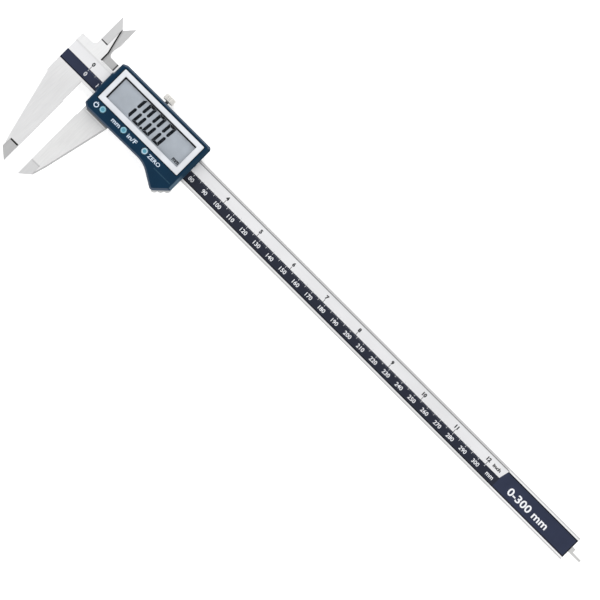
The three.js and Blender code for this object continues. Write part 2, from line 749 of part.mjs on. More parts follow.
function displayPieces() {
  return [
    mesh("housing_shell", housingShell(), MATERIAL.navyPlastic),
    mesh("housing_base", housingBase(), MATERIAL.navyPlastic),
    mesh("display_bezel", bezel(), MATERIAL.whitePlastic),
    mesh("display_window", pane(), MATERIAL.clear),
    mesh("lcd_glass", lcdGlass(), MATERIAL.liquidCrystal),
    mesh("zebra_strip_upper", zebraStrip(ZEBRA.upper), MATERIAL.rubber),
    mesh("zebra_strip_lower", zebraStrip(ZEBRA.lower), MATERIAL.rubber),
    mesh("main_board", mainBoard(), MATERIAL.boardGreen),
    mesh("reader_board", readerBoard(), MATERIAL.boardGreen),
    mesh("controller_chip", chip(), MATERIAL.blackResin),
    mesh("keypad", keypad(), MATERIAL.rubber),
    ...Object.entries(WIPER_X).map(([name, x]) => mesh(name, wiper(x), MATERIAL.felt)),
    ...Object.entries(BUTTON_X).map(([name, x]) => mesh(name, button(x), MATERIAL.tealPlastic)),
  ];
}

function powerPieces() {
  return [
    mesh("battery_tray", batteryTray(), MATERIAL.navyPlastic),
    mesh("button_cell", buttonCell(), MATERIAL.cellSteel),
    mesh("battery_contact_negative", topContact(), MATERIAL.brass),
    mesh("battery_contact_positive", sideContact(), MATERIAL.brass),
  ];
}

const slider = new THREE.Group();
slider.position.x = OPENING;
slider.add(...steelPieces(), ...displayPieces(), ...powerPieces());

// The origin of the whole is the middle of its bounding box's bottom face.
const group = new THREE.Group();
group.add(beamPieces(), slider);
const middleX = (BEAM.left + ROD.right + OPENING) / 2;
const middleY = (JAW.tip + INSIDE.tip) / 2;
group.position.set(-middleX, -middleY, 0);

export default group;
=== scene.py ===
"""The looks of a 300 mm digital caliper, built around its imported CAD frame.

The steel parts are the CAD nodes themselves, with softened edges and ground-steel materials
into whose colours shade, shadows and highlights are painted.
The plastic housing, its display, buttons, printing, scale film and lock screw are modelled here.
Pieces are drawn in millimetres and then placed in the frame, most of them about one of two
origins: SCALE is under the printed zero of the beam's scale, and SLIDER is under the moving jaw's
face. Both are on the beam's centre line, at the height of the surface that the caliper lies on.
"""

import math

import bmesh
import bpy
from mathutils import Matrix, Vector


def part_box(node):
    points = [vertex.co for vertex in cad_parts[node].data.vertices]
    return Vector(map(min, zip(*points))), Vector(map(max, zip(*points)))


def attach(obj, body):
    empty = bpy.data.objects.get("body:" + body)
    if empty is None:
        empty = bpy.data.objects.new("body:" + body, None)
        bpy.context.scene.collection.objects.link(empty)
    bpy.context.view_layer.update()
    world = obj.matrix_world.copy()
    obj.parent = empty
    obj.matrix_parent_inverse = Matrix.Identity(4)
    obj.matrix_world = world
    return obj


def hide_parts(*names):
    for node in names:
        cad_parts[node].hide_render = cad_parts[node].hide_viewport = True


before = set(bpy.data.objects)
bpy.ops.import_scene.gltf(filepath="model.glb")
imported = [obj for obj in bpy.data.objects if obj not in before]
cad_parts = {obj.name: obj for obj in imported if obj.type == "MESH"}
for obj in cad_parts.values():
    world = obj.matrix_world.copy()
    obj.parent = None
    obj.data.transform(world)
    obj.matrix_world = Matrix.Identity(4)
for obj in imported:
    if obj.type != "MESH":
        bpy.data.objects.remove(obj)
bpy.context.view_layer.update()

MM = 0.001
ARC_STEPS = 6  # straight pieces in each rounded corner of an outline
SHARP = 32  # degrees: edges that turn by more than this stay sharp

# For the softened edges of the CAD nodes.
WELD_REACH = 1e-6  # metres: corners closer than this are joined
FLAT_ANGLE = 0.5  # degrees: faces that meet at less than this are joined
BEVEL_ANGLE = 40  # degrees: edges that turn by more than this are rounded

# ---------- places and heights, in millimetres ----------

film_low, film_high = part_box("scale_label")
shell_low, shell_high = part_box("housing_shell")
centre_y = (film_low.y + film_high.y) / 2
ZERO_MARK = 16.1  # from the film's left end to the printed zero
BULGE = 1.1  # the housing's bulge reaches this far past the moving jaw's face
SCALE = Vector((film_low.x + ZERO_MARK * MM, centre_y, 0))
SLIDER = Vector((shell_low.x + BULGE * MM, centre_y, 0))
OPENING = 10  # the moving jaw's face stands this far from the fixed one's
FIXED = SLIDER - Vector((OPENING * MM, 0, 0))  # under the fixed jaw's face

FILM = {"left": -ZERO_MARK, "right": (film_high.x - SCALE.x) / MM, "half": 6.25, "split": 0.1}
FILM_Z = (film_low.z / MM, film_high.z / MM)
SILVER_END = (315.7, 317.2)  # where the silver band stops, at the split and at the film's edge
INK = 0.03  # thickness of printing

SKIRT, TOP = shell_low.z / MM, shell_high.z / MM
ROOF = 12.8  # underside of the housing's top
WALL = 1.3
FOOT = 0.25  # chamfer round the housing's lower edge
CREST = 0.15  # the top's flat face starts this far inside the bevel
LEAST_RADIUS = 0.15  # of an inset corner
# The housing's upper edge from wall to top, as shares of each side's bevel and of its height.
EDGE_HEIGHT = 1.4
EDGE = ((0, 0), (0.03, 0.1), (0.12, 0.2), (0.8, 0.9), (0.9, 0.97), (1, 1))

BEZEL = {"left": 2.5, "right": 61.5, "bottom": -7.4, "top": 13.8}
BEZEL_Z = (13.3, 14.5)
POCKET_GAP = 0.4  # between the bezel and the housing
POCKET_RADIUS = 0.7
WINDOW = {"left": 5.35, "right": 58.4, "bottom": -4.2, "top": 11}
# Inner edges of a black strip under the window's top and left edges: painted shadow of the frame.
WINDOW_SHADOW = {"left": 6.3, "right": 58.6, "bottom": -4.5, "top": 10.1}
WINDOW_SHADOW_Z = (12.72, 12.86)
LCD_FRONT = 12.7

BUTTONS = {"button_power": 9, "button_units": 24.5, "button_zero": 40.3}
BUTTON_Y = -10.2
BUTTON_HOLE = 2.05  # radius

CELL = (55.6, -13.7)  # over the middle of the button cell
TRAY_RADIUS = 6.4  # of the battery tray's round end
TRAY_GAP = 0.15  # between the tray and its slot
TRAY_SLOT_Z = (7, 13.2)
TRAY_SLOT_END = 75  # well past the housing's right wall
TRAY_SEAM = {"left": 50, "right": 62.2, "y": -13.1, "half": 0.3, "depth": 0.35}
CUT = 1  # how far a cutting shape reaches past the faces it cuts

# The housing's corners, anticlockwise from the upper left, as (x, y, radius of the rounding, width
# of the bevel on the side that starts there).
HOUSING = (
    (-0.5, 14.8, 0.8, 1.0),
    (-0.5, 8.4, 0.6, 1.0),
    (-1.1, 7.4, 0.6, 1.0),
    (-1.1, -5.4, 0.6, 1.0),
    (-0.5, -6.4, 0.6, 1.0),
    (-0.5, -13.9, 0.9, 1.0),
    (2.0, -15.6, 1.8, 1.1),
    (44.0, -15.15, 16.0, 1.1),
    (56.9, -23.1, 2.2, 1.4),
    (64.9, -15.5, 1.4, 2.2),
    (64.9, 15.0, 1.0, 2.0),
    (63.8, 16.1, 1.0, 1.1),
    (2.2, 16.0, 1.6, 1.1),
)


# ---------- outlines ----------


def rectangle(left, right, bottom, top):
    """The corners of an upright rectangle, anticlockwise from its upper left."""
    return [(left, top), (left, bottom), (right, bottom), (right, top)]


def grown(box, by):
    """The same rectangle with each side moved outwards."""
    return {
        "left": box["left"] - by,
        "right": box["right"] + by,
        "bottom": box["bottom"] - by,
        "top": box["top"] + by,
    }


def inset(corners, distances):
    """The corners of an anticlockwise outline after each side has moved inwards by its distance."""
    moved = []
    for i, point in enumerate(corners):
        corner = Vector(point)
        along_in = (corner - Vector(corners[i - 1])).normalized()
        along_out = (Vector(corners[(i + 1) % len(corners)]) - corner).normalized()
        turn = along_in.cross(along_out)
        shift = (along_out * distances[i - 1] - along_in * distances[i]) / turn
        moved.append(tuple(corner + shift))
    return moved


def rounded(corners, radii, steps=ARC_STEPS):
    """The outline through the corners, each replaced by an arc of its own radius."""
    outline = []
    for i, point in enumerate(corners):
        corner = Vector(point)
        before = (Vector(corners[i - 1]) - corner).normalized()
        after = (Vector(corners[(i + 1) % len(corners)]) - corner).normalized()
        half_angle = before.angle(after) / 2
        centre = corner + (before + after).normalized() * radii[i] / math.sin(half_angle)
        start = corner + before * radii[i] / math.tan(half_angle) - centre
        end = corner + after * radii[i] / math.tan(half_angle) - centre
        turn = start.angle_signed(end)
        for step in range(steps + 1):
            arm = start.copy()
            arm.rotate(Matrix.Rotation(-turn * step / steps, 2))
            outline.append(tuple(centre + arm))
    return outline


def housing_outline(distance, bevel=0.0):
    """The housing's plan, each side moved inwards by distance and by a share of its own bevel.

    Its points match from one inset to the next.
    """
    corners = [(x, y) for x, y, _, _ in HOUSING]
    distances = [distance + bevel * width for _, _, _, width in HOUSING]
    radii = []
    for i, (x, y, radius, _) in enumerate(HOUSING):
        before = Vector(corners[i - 1]) - Vector((x, y))
        after = Vector(corners[(i + 1) % len(corners)]) - Vector((x, y))
        hollow = after.cross(before) < 0
        shrink = (distances[i - 1] + distances[i]) / 2
        radii.append(radius + shrink if hollow else max(radius - shrink, LEAST_RADIUS))
    return rounded(inset(corners, distances), radii)


def rounded_rectangle(box, radius):
    """The outline of a box with four equal corners."""
    return rounded(rectangle(**box), [radius] * 4)


# ---------- meshes ----------


def add_loft(bm, loops, capped=True, closed=False):
    """Skin through loops of 3-D points.

    Capped closes the two ends, and closed joins the last loop to the first.
    """
    rings = [[bm.verts.new(p) for p in loop] for loop in loops]
    pairs = list(zip(rings, rings[1:]))
    if closed:
        pairs.append((rings[-1], rings[0]))
    faces = []
    for lower, upper in pairs:
        for i, vert in enumerate(lower):
            j = (i + 1) % len(lower)
            faces.append(bm.faces.new((vert, lower[j], upper[j], upper[i])))
    if capped and not closed:
        faces.append(bm.faces.new(reversed(rings[0])))
        faces.append(bm.faces.new(rings[-1]))
    return faces


def level(outline, z):
    """A flat outline's points at one height."""
    return [(x, y, z) for x, y in outline]


def add_prism(bm, outline, z0, z1, material=0):
    """A flat outline raised from z0 to z1, its faces given one of the piece's materials."""
    for face in add_loft(bm, [level(outline, z0), level(outline, z1)]):
        face.material_index = material


def add_turned(bm, profile, centre, steps, radius_at=lambda angle, radius: radius):
    """A closed solid: (radius, height) points turned about the Z axis through centre."""
    loops = []
    for radius, height in profile:
        loop = []
        for step in range(steps):
            angle = 2 * math.pi * step / steps
            reach = radius_at(angle, radius)
            x = centre[0] + reach * math.cos(angle)
            y = centre[1] + reach * math.sin(angle)
            loop.append((x, y, height))
        loops.append(loop)
    return add_loft(bm, loops)


def smooth(mesh):
    """Shades a mesh smooth, apart from its sharp edges."""
    mesh.shade_smooth()
    mesh.set_sharp_from_angle(angle=math.radians(SHARP))


def finish_mesh(bm, name, origin):
    """A mesh object from a drawing in millimetres about origin."""
    bmesh.ops.recalc_face_normals(bm, faces=bm.faces)
    bm.transform(Matrix.Translation(origin) @ Matrix.Scale(MM, 4))
    mesh = bpy.data.meshes.new(name)
    bm.to_mesh(mesh)
    bm.free()
    smooth(mesh)
    obj = bpy.data.objects.new(name, mesh)
    bpy.context.scene.collection.objects.link(obj)
    return obj


def claim(obj, body, materials, replaces=()):
    """Gives a piece its materials and its body, and hides the CAD nodes that it stands for."""
    for material in materials:
        obj.data.materials.append(material)
    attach(obj, body)
    if replaces:
        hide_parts(*replaces)


def piece(name, bm, origin, body, materials, replaces=()):
    """A finished piece, from a drawing in millimetres about origin."""
    claim(finish_mesh(bm, name, origin), body, materials, replaces)


def carve(obj, cutters):
    """Cuts the cutter objects out of obj and removes them."""
    for cutter in cutters:
        cut = obj.modifiers.new(cutter.name, "BOOLEAN")
        cut.operation = "DIFFERENCE"
        cut.solver = "EXACT"
        cut.object = cutter
    bpy.context.view_layer.update()
    shown = obj.evaluated_get(bpy.context.evaluated_depsgraph_get())
    carved = bpy.data.meshes.new_from_object(shown)
    obj.modifiers.clear()
    obj.data = carved
    smooth(carved)
    for cutter in cutters:
        bpy.data.objects.remove(cutter)


def prism_cutter(name, outline, z0, z1):
    """A cutting object with a flat outline."""
    bm = bmesh.new()
    add_prism(bm, outline, z0, z1)
    return finish_mesh(bm, name, SLIDER)


def seam_cutter(left, right, y, half, depth):
    """A cutting object for a V-shaped groove along X, 2 * half wide in the housing's top."""
    bm = bmesh.new()
    above = TOP + depth
    section = [(y - 2 * half, above), (y + 2 * half, above), (y, TOP - depth)]
    add_loft(bm, [[(x, across, z) for across, z in section] for x in (left, right)])
    return finish_mesh(bm, "cover seam", SLIDER)


def circle(x, y, radius, steps=40):
    """A round outline."""
    angles = [2 * math.pi * step / steps for step in range(steps)]
    return [(x + radius * math.cos(a), y + radius * math.sin(a)) for a in angles]


def soften(name, width):
    """Rounds a CAD node's edges a little, so that they catch the light."""
    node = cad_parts[name]
    weld = node.modifiers.new("weld", "WELD")
    weld.merge_threshold = WELD_REACH
    flatten = node.modifiers.new("flatten", "DECIMATE")
    flatten.decimate_type = "DISSOLVE"
    flatten.angle_limit = math.radians(FLAT_ANGLE)
    edges = node.modifiers.new("edges", "BEVEL")
    edges.width = width * MM
    edges.segments = 2
    edges.limit_method = "ANGLE"
    edges.angle_limit = math.radians(BEVEL_ANGLE)


# ---------- text ----------


def text_mesh(text, weight):
    """The built-in font's letters as a mesh with thickness 1, lying on z = 0."""
    curve = bpy.data.curves.new("text", "FONT")
    curve.body = text
    curve.offset = weight
    curve.extrude = 0.5  # to each side
    curve.resolution_u = 3
    holder = bpy.data.objects.new("text", curve)
    bpy.context.scene.collection.objects.link(holder)
    bpy.context.view_layer.update()
    mesh = bpy.data.meshes.new_from_object(holder)
    bpy.data.objects.remove(holder)
    return mesh


def print_text(bm, mesh, centre, height, z, width=None, narrowing=1.0):
    """Adds letters about centre, from z upwards: as wide as given, or in the font's proportions."""
    points = [v.co for v in mesh.vertices]
    low = Vector(min(p[axis] for p in points) for axis in range(3))
    high = Vector(max(p[axis] for p in points) for axis in range(3))
    tall = height / (high.y - low.y)
    wide = width / (high.x - low.x) if width else tall * narrowing
    stretch = Matrix.Diagonal((wide, tall, INK, 1))
    place = Matrix.Translation((centre[0], centre[1], z + INK / 2))
    mesh.transform(place @ stretch @ Matrix.Translation(-(low + high) / 2))
    bm.from_mesh(mesh)
    bpy.data.meshes.remove(mesh)


def add_text(bm, text, centre, size, z, weight):
    """Letters that fill a box of the given width and height."""
    print_text(bm, text_mesh(text, weight), centre, size[1], z, width=size[0])


def add_figure(bm, value, centre, height, narrowing, weight):
    """A figure of the beam's scale, in the font's proportions apart from its narrowing."""
    print_text(bm, text_mesh(str(value), weight), centre, height, FILM_Z[1], narrowing=narrowing)


# ---------- materials ----------

NOISE_LOW, NOISE_HIGH = 0.3, 0.7  # most of the noise's values lie between these


def new_material(name, color, roughness, metallic=0.0, sockets=()):
    """A Principled material with its constant values set on the shader itself."""
    material = bpy.data.materials.new(name)
    material.use_nodes = True
    shader = material.node_tree.nodes["Principled BSDF"]
    shader.inputs["Base Color"].default_value = (*color, 1)
    shader.inputs["Roughness"].default_value = roughness
    shader.inputs["Metallic"].default_value = metallic
    for socket, value in dict(sockets).items():
        shader.inputs[socket].default_value = value
    return material


def shader_of(material):
    """The material's Principled shader."""
    return material.node_tree.nodes["Principled BSDF"]


def position(material):
    """Where a point lies in the frame at rest, from one node that the material shares."""
    nodes = material.node_tree.nodes
    found = nodes.get("position")
    if not found:
        found = nodes.new("ShaderNodeTexCoord")
        found.name = "position"
    return found.outputs["Object"]


def noise(material, grain, detail=2.0):
    """A noise value whose grains measure (x, y, z) millimetres."""
    tree = material.node_tree
    mapping = tree.nodes.new("ShaderNodeMapping")
    mapping.inputs["Scale"].default_value = [1 / (size * MM) for size in grain]
    texture = tree.nodes.new("ShaderNodeTexNoise")
    texture.inputs["Scale"].default_value = 1.0
    texture.inputs["Detail"].default_value = detail
    tree.links.new(position(material), mapping.inputs["Vector"])
    tree.links.new(mapping.outputs["Vector"], texture.inputs["Vector"])
    return texture.outputs["Fac"]


def ranged(material, value, low, high):
    """The noise value stretched over low to high."""
    tree = material.node_tree
    spread = tree.nodes.new("ShaderNodeMapRange")
    spread.inputs["From Min"].default_value = NOISE_LOW
    spread.inputs["From Max"].default_value = NOISE_HIGH
    spread.inputs["To Min"].default_value = low
    spread.inputs["To Max"].default_value = high
    tree.links.new(value, spread.inputs["Value"])
    return spread.outputs["Result"]


def vary_roughness(material, value, low, high):
    """Roughness that follows value from low to high."""
    target = shader_of(material).inputs["Roughness"]
    material.node_tree.links.new(ranged(material, value, low, high), target)


def vary_color(material, value, dark, light):
    """Colour that follows value from dark to light."""
    tree = material.node_tree
    ramp = tree.nodes.new("ShaderNodeValToRGB")
    ramp.color_ramp.elements[0].position = NOISE_LOW
    ramp.color_ramp.elements[0].color = (*dark, 1)
    ramp.color_ramp.elements[1].position = NOISE_HIGH
    ramp.color_ramp.elements[1].color = (*light, 1)
    tree.links.new(value, ramp.inputs["Fac"])
    tree.links.new(ramp.outputs["Color"], shader_of(material).inputs["Base Color"])


def add_relief(material, value, depth):
    """Bumps of the given depth in millimetres."""
    tree = material.node_tree
    bump = tree.nodes.new("ShaderNodeBump")
    bump.inputs["Strength"].default_value = 1.0
    bump.inputs["Distance"].default_value = depth * MM
    tree.links.new(value, bump.inputs["Height"])
    tree.links.new(bump.outputs["Normal"], shader_of(material).inputs["Normal"])


def shade(color, factor):
    """The colour made lighter or darker."""
    return tuple(channel * factor for channel in color)


def grey(value):
    """A colour with three equal channels."""
    return (value, value, value)


def even(size):
    """A grain that measures the same along each axis."""
    return (size, size, size)


def ground_steel(name, tone, grain, roughness=0.36):
    """Hardened steel ground along the direction in which its grain is longest."""
    material = new_material(name, tone, roughness, 1.0)
    lines = noise(material, grain, detail=3.0)
    vary_color(material, noise(material, even(35)), shade(tone, 0.95), shade(tone, 1.04))
    vary_roughness(material, lines, roughness - 0.07, roughness + 0.1)
    add_relief(material, lines, depth=0.004)
    return material


def moulded(name, color, roughness, texture=0.25, depth=0.006, specular=0.5):
    """Moulded plastic: an even colour, slightly cloudy, with a fine spark-eroded surface."""
    material = new_material(name, color, roughness, 0.0, {"Specular IOR Level": specular})
    fine = noise(material, even(texture))
    vary_color(material, noise(material, even(9)), shade(color, 0.92), shade(color, 1.08))
    vary_roughness(material, fine, roughness - 0.05, roughness + 0.06)
    add_relief(material, fine, depth)
    return material


def printed(name, color, specular=0.3):
    """Ink: flat, a little uneven in cover."""
    material = new_material(name, color, 0.55, 0.0, {"Specular IOR Level": specular})
    cover = noise(material, even(0.4))
    vary_color(material, cover, shade(color, 0.9), color)
    vary_roughness(material, cover, 0.48, 0.62)
    return material


def compare(tree, operation, value, limit):
    """1 where value is GREATER_THAN or LESS_THAN the limit, and 0 elsewhere."""
    node = tree.nodes.new("ShaderNodeMath")
    node.operation = operation
    tree.links.new(value, node.inputs[0])
    node.inputs[1].default_value = limit
    return node.outputs[0]


def product(tree, first, second):
    """The product of two masks."""
    node = tree.nodes.new("ShaderNodeMath")
    node.operation = "MULTIPLY"
    tree.links.new(first, node.inputs[0])
    tree.links.new(second, node.inputs[1])
    return node.outputs[0]


def facing(material, axis):
    """How directly each face looks along an axis of the frame, from -1 to 1."""
    tree = material.node_tree
    surface = tree.nodes.new("ShaderNodeNewGeometry")
    split = tree.nodes.new("ShaderNodeSeparateXYZ")
    tree.links.new(surface.outputs["True Normal"], split.inputs["Vector"])
    return split.outputs[axis]


def front_faces(material):
    """A mask of the faces that look up, on the display's side."""
    return compare(material.node_tree, "GREATER_THAN", facing(material, "Z"), 0.5)


def tilted(material, limit=0.95):
    """A mask of the faces that look up or down less than the limit."""
    tree = material.node_tree
    size = tree.nodes.new("ShaderNodeMath")
    size.operation = "ABSOLUTE"
    tree.links.new(facing(material, "Z"), size.inputs[0])
    return compare(tree, "LESS_THAN", size.outputs[0], limit)


def within(material, origin, limits):
    """A mask of the box between the limits, given as {axis: (low, high)} in mm about origin."""
    tree = material.node_tree
    split = tree.nodes.new("ShaderNodeSeparateXYZ")
    tree.links.new(position(material), split.inputs["Vector"])
    masks = []
    for axis, (low, high) in limits.items():
        start = origin["XYZ".index(axis)]
        masks.append(compare(tree, "GREATER_THAN", split.outputs[axis], start + low * MM))
        masks.append(compare(tree, "LESS_THAN", split.outputs[axis], start + high * MM))
    whole = masks[0]
    for mask in masks[1:]:
        whole = product(tree, whole, mask)
    return whole


def fade(material, origin, axis, start, end):
    """A mask that grows from 0 to 1 between start and end, in mm about origin along an axis."""
    tree = material.node_tree
    split = tree.nodes.new("ShaderNodeSeparateXYZ")
    tree.links.new(position(material), split.inputs["Vector"])
    scale = tree.nodes.new("ShaderNodeMapRange")
    middle = origin["XYZ".index(axis)]
    scale.inputs["From Min"].default_value = middle + start * MM
    scale.inputs["From Max"].default_value = middle + end * MM
    tree.links.new(split.outputs[axis], scale.inputs["Value"])
    return scale.outputs["Result"]


def add_streaks(material, grain, dark, light):
    """Grinding marks: the colour is multiplied by values from dark to light along the grain."""
    tree = material.node_tree
    target = shader_of(material).inputs["Base Color"]
    mix = tree.nodes.new("ShaderNodeMix")
    mix.data_type = "RGBA"
    mix.blend_type = "MULTIPLY"
    mix.inputs["Factor"].default_value = 1.0
    base, streaks = (s for s in mix.inputs if s.type == "RGBA")
    tree.links.new(target.links[0].from_socket, base)
    marks = noise(material, grain, detail=3.0)
    tree.links.new(ranged(material, marks, dark, light), streaks)
    tree.links.new(next(s for s in mix.outputs if s.type == "RGBA"), target)


def overlay(material, mask, color):
    """Mixes color over the material's own, wholly where mask is 1."""
    tree = material.node_tree
    target = shader_of(material).inputs["Base Color"]
    mix = tree.nodes.new("ShaderNodeMix")
    mix.data_type = "RGBA"
    base, over = (s for s in mix.inputs if s.type == "RGBA")
    tree.links.new(mask, mix.inputs["Factor"])
    tree.links.new(target.links[0].from_socket, base)
    over.default_value = (*color, 1)
    tree.links.new(next(s for s in mix.outputs if s.type == "RGBA"), target)


def overlay_tilted(material, origin, limits, color):
    """Colours the tilted faces in a box."""
    mask = product(material.node_tree, within(material, origin, limits), tilted(material))
    overlay(material, mask, color)


# Grains of ground steel, and a plastic finish that is finer than the housing's.
ALONG_X = (30, 0.35, 0.35)
ALONG_Y = (0.35, 30, 0.35)
SATIN = {"texture": 0.5, "depth": 0.002}

BEAM_STEEL = ground_steel("beam steel", (0.82, 0.82, 0.82), ALONG_Y)
FRAME_STEEL = ground_steel("slider steel", (0.815, 0.815, 0.81), ALONG_Y)
PLATE_STEEL = ground_steel("plate steel", (0.72, 0.73, 0.73), ALONG_X, 0.4)
ROD_STEEL = ground_steel("rod steel", (0.62, 0.62, 0.61), ALONG_X, 0.4)
SCREW_STEEL = ground_steel("screw steel", (0.5, 0.5, 0.49), even(0.3), 0.35)
KNOB_METAL = ground_steel("knob nickel", (0.78, 0.765, 0.73), even(0.3), 0.38)
BRASS = ground_steel("brass", (0.72, 0.55, 0.25), ALONG_X, 0.35)
CELL_STEEL = ground_steel("cell steel", (0.82, 0.82, 0.8), even(0.4), 0.2)

NAVY = moulded("navy plastic", (0.001, 0.022, 0.052), 0.46, specular=0.12)
WHITE = moulded("white plastic", (0.67, 0.69, 0.725), 0.3, texture=0.6, depth=0.002, specular=0.3)
# painted shadow: the black of the strip that stands for the frame's shadow on the display
WINDOW_SHADOW_BLACK = moulded("gasket", (0.008, 0.008, 0.01), 0.7)
BUTTON_RING = moulded("button rim", (0.24, 0.47, 0.58), 0.3, specular=0.3, **SATIN)
BUTTON_PALE = moulded("pale button rim", (0.42, 0.58, 0.68), 0.3, specular=0.3, **SATIN)
BUTTON_FACE = moulded("button face", (0.08, 0.27, 0.355), 0.35, specular=0.3, **SATIN)
RUBBER = moulded("rubber", (0.02, 0.02, 0.022), 0.8)
RESIN = moulded("chip resin", (0.012, 0.012, 0.013), 0.6)
BOARD_GREEN = moulded("solder resist", (0.02, 0.12, 0.055), 0.35, texture=1.2, depth=0.01)
FELT = moulded("felt", (0.08, 0.08, 0.078), 0.95, texture=0.12, depth=0.08)

FILM_DARK = moulded("film dark", (0.025, 0.032, 0.062), 0.42, specular=0.12, **SATIN)
FILM_RIM = moulded("film rim", (0.006, 0.007, 0.012), 0.5, specular=0.1, **SATIN)
FILM_SILVER = ground_steel("film silver", (0.84, 0.84, 0.85), (20, 0.3, 0.3), 0.42)
INK_WHITE = printed("white ink", (0.86, 0.87, 0.9))
INK_BLUISH = printed("legend ink", (0.66, 0.76, 0.88))
INK_DARK = printed("dark ink", (0.006, 0.007, 0.009))
INK_PALE = printed("pale ink", (0.3, 0.32, 0.36))
INK_GREY = printed("grey ink", (0.035, 0.037, 0.042))
LCD_GREY = moulded(
    "liquid crystal", (0.49, 0.535, 0.59), 0.4, texture=0.3, depth=0.001, specular=0.1
)
LCD_SEGMENT = printed("lcd segments", (0.005, 0.008, 0.012), 0.1)


def window_glass():
    """Thin clear plastic: mostly transparent, with its gloss on top."""
    sockets = {"Alpha": 0.08, "Specular IOR Level": 0.2}
    material = new_material("clear window", (0.01, 0.01, 0.012), 0.06, 0.0, sockets)
    vary_roughness(material, noise(material, even(6)), 0.04, 0.09)
    return material


# ---------- steel ----------

# Heights, from the surface that the caliper lies on.
BLADE_Z = (0, 4.9)  # the jaws' thinned ends, which lie lower than the jaws' faces
BEHIND_Z = (0, 3.5)  # the moving inside jaw, which passes behind the fixed one
STEP_Z = (4.5, 5.6)  # the steps and bevels in the jaws' faces
# Places along and across the beam.
RULER_X = (8, 314)  # beside the printed scale
MARKING_X = (314, 400)  # beside the range marking at the far end
BEAM_Y = (-8.1, 8.1)
OUTSIDE_BLADE_Y = (-70, -56.6)
OUTSIDE_STEP_Y = (-56.7, -55.5)
INSIDE_BLADE_Y = (16.5, 40)

# Ground faces painted lighter or darker than the rest, as (limits, colour): about FIXED for the beam
# and about SLIDER for the slider's frame. Those noted as painted light stand for shade, shadows and
# highlights. A later zone lies over an earlier one.
BEAM_ZONES = (
    ({"X": (-20, 0), "Y": (7, 40)}, grey(0.9)),  # the head and the fixed inside jaw
    ({"Y": OUTSIDE_BLADE_Y, "Z": BLADE_Z}, grey(0.54)),
    ({"X": (-12, -4.1), "Y": INSIDE_BLADE_Y, "Z": BLADE_Z}, grey(0.68)),
    ({"X": RULER_X, "Y": BEAM_Y}, grey(0.63)),  # strips along the beam's edges
    ({"X": MARKING_X, "Y": BEAM_Y}, grey(0.66)),
    ({"X": RULER_X, "Y": (-7.05, 6)}, grey(0.84)),  # the rails inside those strips
    ({"X": MARKING_X, "Y": (-7.1, 7.1)}, grey(0.95)),
    # painted shade in the gap between the silver band and the rail, and on the rail's edge beside it
    ({"X": (8, 315.4), "Y": (6.2, 6.75)}, grey(0.21)),  # the gap along the silver band
)
FRAME_ZONES = (
    ({"Y": OUTSIDE_BLADE_Y, "Z": BLADE_Z}, grey(0.72)),
    # painted light on the jaw just below the housing: shade under a small step, a highlight along the
    # step, then the housing's shadow
    ({"X": (0, 20), "Y": (-17.8, -15)}, grey(0.68)),  # strips of the jaw beside the housing
    ({"X": (2, 20), "Y": (-17, -15)}, grey(0.8)),
    ({"X": (2, 20), "Y": (-16.4, -15)}, grey(0.25)),
    # painted shade on the moving inside jaw and its neck, which lie lower, behind the fixed jaw
    ({"Y": INSIDE_BLADE_Y, "Z": BEHIND_Z}, grey(0.6)),
    ({"X": (-20, -3.1), "Y": (8.2, 16.5), "Z": BEHIND_Z}, grey(0.52)),
    # painted shade in the neck's groove
    ({"X": (-3.1, -2.3), "Y": (8.2, 12.8), "Z": BEHIND_Z}, grey(0.1)),  # the neck's groove
    ({"X": (-2.3, 1.4), "Y": (8.2, 12.8), "Z": BEHIND_Z}, grey(0.95)),
)
# Side walls and bevels, painted darker: painted shade.
SLOPE_SHADE = ((BEAM_STEEL, 0.5), (FRAME_STEEL, 0.4), (PLATE_STEEL, 0.5))
# Bevels and steps of another tone than those: painted shadow on the fixed inside jaw's knife edge
# and step and on the outside jaws' steps, and a painted highlight on the bevel along the fixed
# outside jaw's back.
EDGE_SHADE_AND_HIGHLIGHT = (
    (BEAM_STEEL, FIXED, {"X": (-4.6, 0), "Y": (8, 28), "Z": STEP_Z}, grey(0.02)),
    (BEAM_STEEL, FIXED, {"X": (-8.3, -4), "Y": (15.7, 16.6), "Z": STEP_Z}, grey(0.03)),
    (BEAM_STEEL, FIXED, {"X": (-5.8, -0.3), "Y": OUTSIDE_STEP_Y, "Z": STEP_Z}, grey(0.03)),
    (BEAM_STEEL, FIXED, {"X": (-20, -5.5), "Y": (-62.5, -14)}, grey(0.9)),
    (FRAME_STEEL, SLIDER, {"X": (0, 6.1), "Y": OUTSIDE_STEP_Y, "Z": STEP_Z}, grey(0.66)),
)
# The housing's soft shadow on the moving jaw.
SHADOW = {"X": (0, 20), "Y": (-30, -15)}
SHADOW_FADE = (-30, -18)
SHADOW_TONE = grey(0.74)
GRINDING = (0.3, 8, 0.3)  # grain of the marks over those tones


def shade_jaw():
    """Darkens the moving jaw's face gradually towards the housing."""
    tree = FRAME_STEEL.node_tree
    growing = product(tree, fade(FRAME_STEEL, SLIDER, "Y", *SHADOW_FADE), front_faces(FRAME_STEEL))
    mask = product(tree, growing, within(FRAME_STEEL, SLIDER, SHADOW))
    overlay(FRAME_STEEL, mask, SHADOW_TONE)


def shade_faces(material, origin, zones):
    """The tones of one steel's ground faces, some of them painted shade, shadow and highlight."""
    tree = material.node_tree
    front = front_faces(material)
    for limits, color in zones:
        mask = product(tree, within(material, origin, limits), front)
        overlay(material, mask, color)


